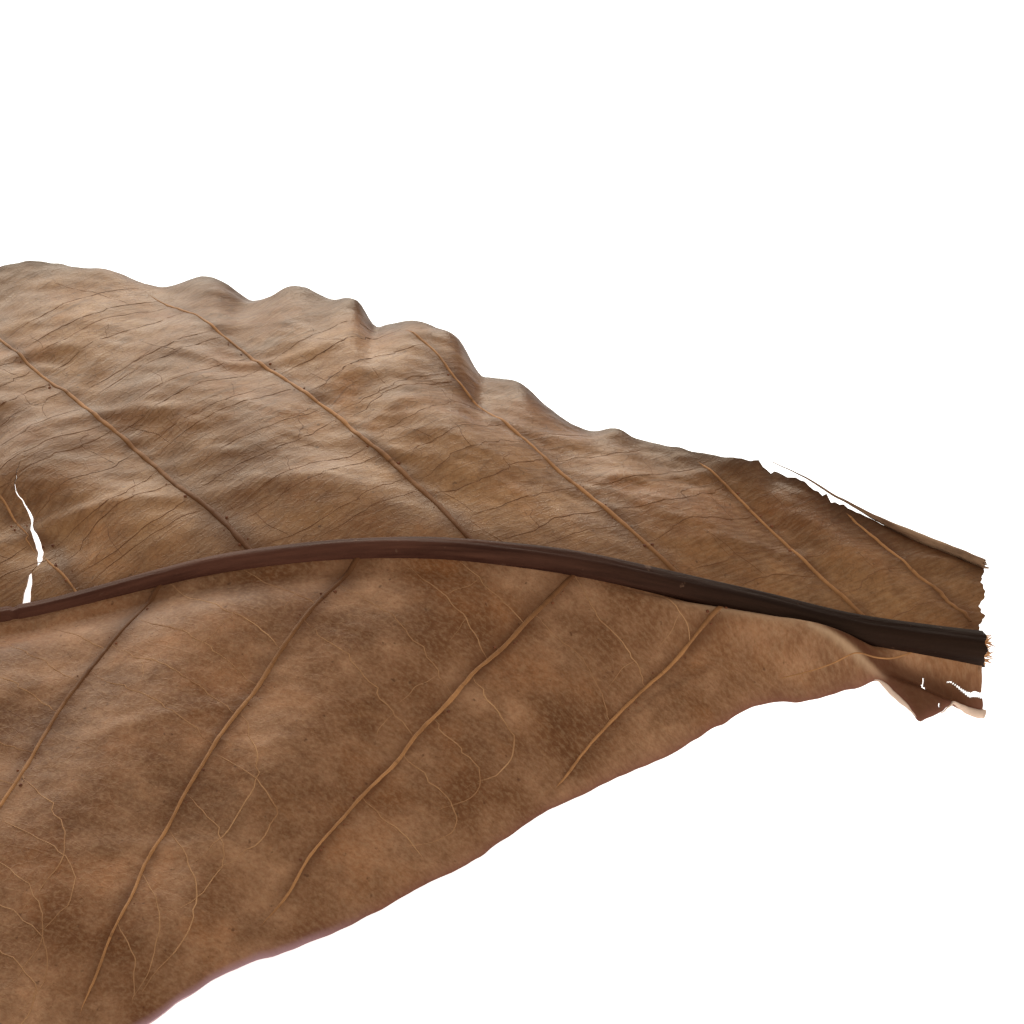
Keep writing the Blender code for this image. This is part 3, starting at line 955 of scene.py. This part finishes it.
def make_side_veins(far, points=150):
    """Side veins as cords that thin out towards the edge of the blade. Each runs over the part of its
    line that is on the blade, up to 93% of the way to the edge. The one beside the tear and the
    steep ones in the bent corner are under half as thick."""
    roots = MM * np.array(FAR_ROOTS if far else NEAR_ROOTS, float)[:, None]
    trial = np.linspace(0, 70 * MM, 400)[None, :]
    at = vein_line(roots, trial, far)
    inside = trial < 0.93 * half_width(np.clip(at, 0, LEAF_LENGTH), far)
    inside &= (at > 1 * MM) & (at < LEAF_LENGTH - 2 * MM)
    begin = np.argmax(inside, axis=1)
    left_blade = (np.arange(trial.shape[1])[None, :] > begin[:, None]) & ~inside
    first, last = trial[0, begin], trial[0, np.argmax(left_blade, axis=1) - 1]
    steep = along(FAR_LEAN if far else NEAR_LEAN, roots[:, 0]) > STEEP_LEAN
    last = np.where(steep, np.minimum(last, 7 * MM), last)
    keep = inside.any(axis=1) & (last - first > 4 * MM)
    roots, first, last, steep = roots[keep], first[keep], last[keep], steep[keep]
    share = np.linspace(0, 1, points)[None, :]
    reach = first[:, None] + (last - first)[:, None] * share
    distance = vein_line(roots, reach, far)
    if far:
        distance = distance - tear_warp(distance, reach)
    length = np.clip((last - first) / (50 * MM), 0.35, 1)[:, None]
    taper = (1 - share) * (0.3 + 0.35 * length) + 0.42
    swell = 1 + 0.12 * unevenness(reach, roots * 7, 3 * MM, 82)
    thin_end = smooth_step(0, 0.05, 1.0 - share) * 0.97 + 0.03
    at_tear = np.exp(-(((distance - TEAR_MIDDLE) / (0.7 * MM)) ** 2)) * (reach < TEAR_END) * far
    by_tear = far & (np.abs(roots - VEIN_BY_TEAR * MM) < 1 * MM)
    thinner = np.where(by_tear | steep[:, None], 0.45, 1)
    size = MM * taper * swell * thin_end * (1 - 0.97 * at_tear) * thinner
    half_wide = (0.33 if far else 0.28) * size
    height = (0.24 if far else 0.19) * size
    across = reach if far else -reach
    name = "side_veins_far" if far else "side_veins_near"
    paler = 0.8 * by_tear + 0.03 * far
    return cords_on_blade(
        name, distance, across, half_wide, height, 12, SIDE_VEIN, paler=paler
    )


def from_order(order, reach, far):
    """Distance along the leaf of a point that lies between two side veins at a given reach: the line
    of a side vein whose root is as far between the two roots as the order says."""
    roots = MM * np.array(FAR_ROOTS if far else NEAR_ROOTS, float)
    root = np.interp(order, np.arange(len(roots)), roots)
    return vein_line(root, reach, far)


def fine_vein_lines(far, seed):
    """The fine veins as rows of vein order and reach, with a size for each.

    Between each two side veins there are rungs, which fall towards the midrib as they go from one
    to the next, each with a short link that goes outwards from it. In the outer part of the near
    half there are loops in their place, which leave a side vein, swing out and come back to it.
    """
    draw = np.random.default_rng(seed)
    roots = MM * np.array(FAR_ROOTS if far else NEAR_ROOTS, float)
    orders, reaches, sizes = [], [], []
    share = np.linspace(0, 1, 24)
    for k in range(0 if far else 2, len(roots) - 1):
        gap = roots[k + 1] - roots[k]
        middle = np.array(np.clip(roots[k] + 0.5 * gap + 15 * MM, 0, LEAF_LENGTH))
        width = float(half_width(middle, far))
        count = max(int(width / ((3.2 if far else 4.3) * MM)), 1)
        starts = np.linspace(0.05, 0.95, count) * width + draw.uniform(-1.2, 1.2, count) * MM
        fall = (0.42 if far else 0.62) * gap
        for start in starts:
            bow = draw.uniform(-0.8, 0.8) * MM
            depth = draw.uniform(0.4, 0.7)
            if not far and start > 0.4 * width:
                orders.append(k + 1 - depth * np.sin(2.3 * share))
                reaches.append(start + draw.uniform(0.6, 0.95) * gap * share**0.9)
                sizes.append(draw.uniform(0.75, 1.15))
                continue
            wiggle = unevenness(share * 20 * MM, start * 50 + k, 10 * MM, seed) * 0.2 * MM
            rung = start + 2 * MM - fall * (share - 0.3) + bow * np.sin(np.pi * share) + wiggle
            orders.append(k + share)
            reaches.append(rung)
            sizes.append(draw.uniform(0.75, 1.15))
            place = draw.uniform(0.12, 0.88)
            drift = draw.uniform(-0.14, 0.14)
            step = draw.uniform(2.0, 4.5) * MM
            orders.append(k + place + drift * share + 0.006 * np.sin(7 * share + start * 900))
            reaches.append(np.interp(place, share, rung) + step * share)
            sizes.append(draw.uniform(0.45, 0.75) * (1.0 if far else 0.6))
    return np.array(orders), np.array(reaches), np.array(sizes)[:, None]


def make_fine_veins(far, seed):
    """Fine veins as hair-thin cords, each over the part of its line that is on the blade and clear of
    the tear. They thin out at both ends."""
    order, reach, size = fine_vein_lines(far, seed)
    share = np.linspace(0, 1, order.shape[1])
    distance = from_order(order, np.maximum(reach, 0), far)
    limit = half_width(np.clip(distance, 0, LEAF_LENGTH), far)
    good = (reach > 1.0 * MM) & (reach < 0.95 * limit)
    good &= (distance > 0.8 * MM) & (distance < LEAF_LENGTH - 3 * MM)
    if far:
        good &= ~((np.abs(distance - TEAR_MIDDLE) < 0.9 * MM) & (reach < TEAR_END))
    keep = good.mean(axis=1) > 0.35
    reach = pulled_inside(reach[keep], good[keep])
    distance = pulled_inside(distance[keep], good[keep])
    ends = 0.25 + 0.75 * smooth_step(0, 0.12, share) * smooth_step(0, 0.3, 1 - share)
    half_wide = (0.05 if far else 0.074) * MM * size[keep] * ends
    across = reach if far else -reach
    name = "fine_veins_far" if far else "fine_veins_near"
    # the far half's fine veins are dark as painted shade, the near half's pale as painted light
    finish = FINE_VEIN_SHADED if far else FINE_VEIN_LIT
    return cords_on_blade(name, distance, across, half_wide, 0.8 * half_wide, 5, finish, 0.2)


def pulled_inside(values, good):
    """Each row keeps only its good stretch: points before or after it move to its first or last."""
    column = np.arange(values.shape[1])[None, :]
    first = np.argmax(good, axis=1)[:, None]
    last = values.shape[1] - 1 - np.argmax(good[:, ::-1], axis=1)[:, None]
    spread = first + (last - first) * column / (values.shape[1] - 1)
    low = np.floor(spread).astype(int)
    high = np.minimum(low + 1, values.shape[1] - 1)
    part = spread - low
    rows = np.arange(len(values))[:, None]
    return values[rows, low] * (1 - part) + values[rows, high] * part


def make_vein_bumps(count=300):
    """Small dark swellings in rows beside the side veins: flattened balls, each made of rings whose
    radius is the root of one less the height squared."""
    draw = np.random.default_rng(91)
    far = draw.random(count) < 0.5
    pick = draw.integers(2, 11, count)
    reach = draw.random(count) ** 1.4 * 42 * MM + 1.8 * MM
    side = np.where(draw.random(count) < 0.5, -1, 1) * draw.uniform(0.45, 0.8, count) * MM
    on_far = vein_line(MM * np.array(FAR_ROOTS, float)[pick], reach, True)
    on_near = vein_line(MM * np.array(NEAR_ROOTS, float)[pick], reach, False)
    distance = np.where(far, on_far, on_near) + side
    inside = reach < 0.9 * half_width(distance, far)
    distance, across = distance[inside], np.where(far, reach, -reach)[inside]
    size = (0.06 + 0.14 * draw.random(count) ** 3)[inside] * MM
    centre, normal = blade_point(distance, across, BLADE_THICKNESS / 2)
    first = unit(np.cross(normal, np.array([0.0, 1.0, 0.0])))
    second = np.cross(normal, first)
    lift = np.linspace(-0.3, 1, 6)[:, None]
    turn = np.linspace(0, 2 * np.pi, 10, endpoint=False)[None, :]
    round_in = np.sqrt(1 - lift**2 * 0.98)
    ball = np.stack([round_in * np.cos(turn), round_in * np.sin(turn), lift * 0.75 + 0 * turn], axis=-1)
    frames = np.stack([first, second, normal], axis=1)
    points = centre[:, None, None] + size[:, None, None, None] * np.einsum("rsk,nkc->nrsc", ball, frames)
    flat = np.stack([distance, across], axis=-1)[:, None, None] + np.zeros((6, 10, 1))
    faces = ring_faces(len(distance), 6, 10)
    return put_mesh("vein_bumps", points.reshape(-1, 3), faces, [BUMP], flat.reshape(-1, 2))


def make_rolled_edge(rings=140, turns=26):
    """The strip of far edge at the base, torn along its length and rolled up: a scroll whose radius
    swells from a hair's point, clear of the blade, to a roll that lies on the edge."""
    share = np.linspace(0, 1, rings)
    distance = (20.5 - 20.9 * share) * MM
    across = half_width(np.maximum(distance, 0), True)
    base, _ = blade_point(distance, across * 0.99)
    radius = MM * (0.05 + 0.1 * smooth_step(0.0, 0.3, share) + 0.45 * smooth_step(0.3, 0.72, share))
    stands_off = (1.1 * smooth_step(0.5, 0.0, share) + 0.8 * smooth_step(0.2, 0.0, share)) * MM
    above = radius * 0.9 + stands_off
    centre = base + np.array([0, 0, 1.0]) * above[:, None]
    heading = unit(np.gradient(centre, axis=0))
    side = unit(np.cross(heading, np.array([0, 0, 1.0])))
    rise = np.cross(side, heading)
    angle = np.linspace(0.2, 2 * np.pi * 1.35, turns)[None, :]
    wind = 1 - 0.45 * (angle / angle.max())
    dents = 1 + 0.05 * unevenness(distance[:, None], angle * MM * 2, 4 * MM, 95)
    outer = radius[:, None] * wind * dents
    thick = np.minimum(0.16 * MM, 0.4 * radius)[:, None]
    faces_at = []
    for size in (outer, outer - thick):
        sideways = side[:, None] * (size * np.cos(angle))[..., None]
        upwards = rise[:, None] * (size * np.sin(angle))[..., None]
        faces_at.append((centre[:, None] + sideways + upwards).reshape(-1, 3))
    kept = np.ones((rings - 1, turns - 1), bool)
    jag = 2.0 + 1.6 * unevenness(angle[:, :-1] * MM, 0 * angle[:, :-1], 1.2 * MM, 96)
    kept &= np.arange(rings - 1)[::-1, None] >= jag
    faces, _ = sheet_faces(kept)
    points = clear_of_ground(np.concatenate(faces_at))
    flat = np.stack([distance[:, None] + 0 * angle, radius[:, None] * angle], axis=-1).reshape(-1, 2)
    return put_mesh("rolled_edge", points, faces, [ROLLED], np.tile(flat, (2, 1)))


def make_corner_hem(rings=70):
    """The rolled hem round the bent corner of the near half: two pale cords along its edge. The
    first is thin at both ends, and the second widens towards the broken base."""
    share = np.linspace(0, 1, rings)
    distance = np.array([11.2 - 4.0 * share, 4.8 - 5.1 * share]) * MM
    across = -half_width(np.maximum(distance, 0), False) - np.array([[-0.25], [0.1]]) * MM
    pointed = smooth_step(0, 0.35, share) * smooth_step(0, 0.4, 1 - share)
    widening = smooth_step(0, 0.9, share)
    half_wide = (0.05 + np.array([0.22 * pointed, 0.42 * widening])) * MM
    return cords_on_blade("corner_hem", distance, across, half_wide, half_wide, 14, HEM, 0.1)


def make_torn_fibres(count=70):
    """Fibres that stick out of the broken midrib: thin tapering strands, which start at random places
    in its section and bend aside with the square of the way along them."""
    draw = np.random.default_rng(97)
    centre, heading, over, up = rib_frame(RIB_START + np.array([0, 0.3]) * MM)
    angle = draw.uniform(0, 2 * np.pi, count)
    place = np.sqrt(draw.uniform(0.05, 1, count)) * 1.35 * MM
    start = centre[0] + over[0] * (place * np.cos(angle))[:, None]
    start = start + up[0] * (0.9 * place * np.sin(angle) + 0.25 * MM)[:, None]
    length = draw.uniform(0.4, 1.4, count)[:, None] * MM
    share = np.linspace(0, 1, 9)[None, :]
    sway = draw.uniform(-0.8, 0.8, (count, 2))
    lean_over = (sway[:, :1] * share**2 * length)[..., None] * over[0]
    lean_up = (sway[:, 1:] * share**2 * length)[..., None] * up[0]
    outward = -heading[0]
    path = start[:, None] + outward * (length * (share - 0.3))[..., None] + lean_over + lean_up
    radius = draw.uniform(0.05, 0.15, count)[:, None] * MM * (1 - share**2 * 0.85)
    sides = 6
    turn = np.linspace(0, 2 * np.pi, sides, endpoint=False)
    points = (
        path[:, :, None]
        + over[0] * (radius[..., None] * np.cos(turn))[..., None]
        + up[0] * (radius[..., None] * np.sin(turn))[..., None]
    )
    flat = np.stack([length * share, radius], axis=-1)[:, :, None] + np.zeros((sides, 1))
    faces = ring_faces(count, 9, sides)
    return put_mesh("torn_fibres", points.reshape(-1, 3), faces, [FIBRE], flat.reshape(-1, 2))


# ---------------------------------------------------------------- the room


def make_floor():
    """A wide, plain, pale floor that glows a little, as a light table does, so shadows stay faint."""
    side = 3.0
    mesh = bpy.data.meshes.new("floor")
    corners = [(-side, -side, 0), (side, -side, 0), (side, side, 0), (-side, side, 0)]
    mesh.from_pydata(corners, [], [(0, 1, 2, 3)])
    paint = bpy.data.materials.new("pale_floor")
    paint.use_nodes = True
    shader = paint.node_tree.nodes["Principled BSDF"]
    shader.inputs["Base Color"].default_value = (0.9, 0.9, 0.9, 1)
    shader.inputs["Roughness"].default_value = 0.8
    shader.inputs["Emission Color"].default_value = (1, 1, 1, 1)
    shader.inputs["Emission Strength"].default_value = 0.85
    mesh.materials.append(paint)
    floor = bpy.data.objects.new("floor", mesh)
    bpy.context.scene.collection.objects.link(floor)


def soft_box(name, place, wide, high, power):
    """A large soft lamp that points at the leaf and can't be seen itself."""
    lamp = bpy.data.lights.new(name, "AREA")
    lamp.shape = "RECTANGLE"
    lamp.size, lamp.size_y = wide, high
    lamp.energy = power
    lamp.color = (1.0, 0.95, 0.84)
    box = bpy.data.objects.new(name, lamp)
    box.location = place
    aim = mathutils.Vector((0.04, 0.0, 0.01)) - mathutils.Vector(place)
    box.rotation_euler = aim.to_track_quat("-Z", "Y").to_euler()
    box.visible_camera = False
    bpy.context.scene.collection.objects.link(box)


def make_light():
    """A dim even surround, a wide soft lamp behind the leaf and a weaker one in front."""
    world = bpy.data.worlds.new("studio")
    world.use_nodes = True
    world.node_tree.nodes["Background"].inputs["Color"].default_value = (1.0, 1.0, 1.0, 1)
    world.node_tree.nodes["Background"].inputs["Strength"].default_value = 0.3
    bpy.context.scene.world = world
    soft_box("lamp_behind", (-0.3, 1.4, 0.8), 1.6, 0.9, 36.0)
    soft_box("lamp_in_front", (0.8, -1.2, 1.1), 1.2, 1.2, 14.5)


def make_camera():
    """A long lens that looks along +Y and 30 degrees down at the base half."""
    view = bpy.data.cameras.new("view")
    view.lens = 100
    view.sensor_width = 36
    view.clip_start = 0.01
    view.clip_end = 20
    camera = bpy.data.objects.new("view", view)
    down = np.radians(30)
    away = 0.284
    target = np.array([cad_box[1][0] - 48.0 * MM, 3.0 * MM, 23.9 * MM])
    camera.location = (target + away * np.array([0, -np.cos(down), np.sin(down)])).tolist()
    camera.rotation_euler = (np.pi / 2 - down, 0, 0)
    bpy.context.scene.collection.objects.link(camera)
    bpy.context.scene.camera = camera
    bpy.context.scene.view_settings.view_transform = "Standard"


# The two copies of the underside differ in the hair-fine veins' colour: dark on the far half as painted
# shade, pale on the near half as painted light
BLADE_FAR = blade_finish(
    "blade_underside_far", 20 * MM, (rgb(118, 76, 45), rgb(164, 119, 78)), rgb(74, 43, 26), 0.5,
    rgb(58, 33, 21), 5.0, 0.35,
)
BLADE_NEAR = blade_finish(
    "blade_underside_near", 9 * MM, (rgb(111, 71, 45), rgb(176, 131, 98)), rgb(182, 134, 92), 0.12,
    rgb(128, 82, 70), 1.4, 0.12,
)
OTHER_FACE = other_face_finish()
RIB = rib_finish()
SIDE_VEIN = side_vein_finish()
# Fine veins in two copies of one colour: the pale one is painted light for the near half, the dark one
# painted shade for the far half
FINE_VEIN_LIT = fine_vein_finish("fine_vein_painted_light", rgb(140, 98, 64), rgb(176, 132, 92))
FINE_VEIN_SHADED = fine_vein_finish("fine_vein_painted_shade", rgb(78, 46, 29), rgb(122, 82, 54))
BUMP = fine_vein_finish("vein_bump", rgb(84, 46, 30), rgb(124, 74, 46))
ROLLED = rolled_finish()
FIBRE = fibre_finish()
HEM = fine_vein_finish("pale_hem", rgb(142, 106, 86), rgb(200, 172, 152))

make_camera()
make_light()
make_floor()
make_blade(far=True)
make_blade(far=False)
make_midrib()
make_side_veins(far=True)
make_side_veins(far=False)
make_fine_veins(far=True, seed=101)
make_fine_veins(far=False, seed=102)
make_vein_bumps()
make_rolled_edge()
make_corner_hem()
make_torn_fibres()
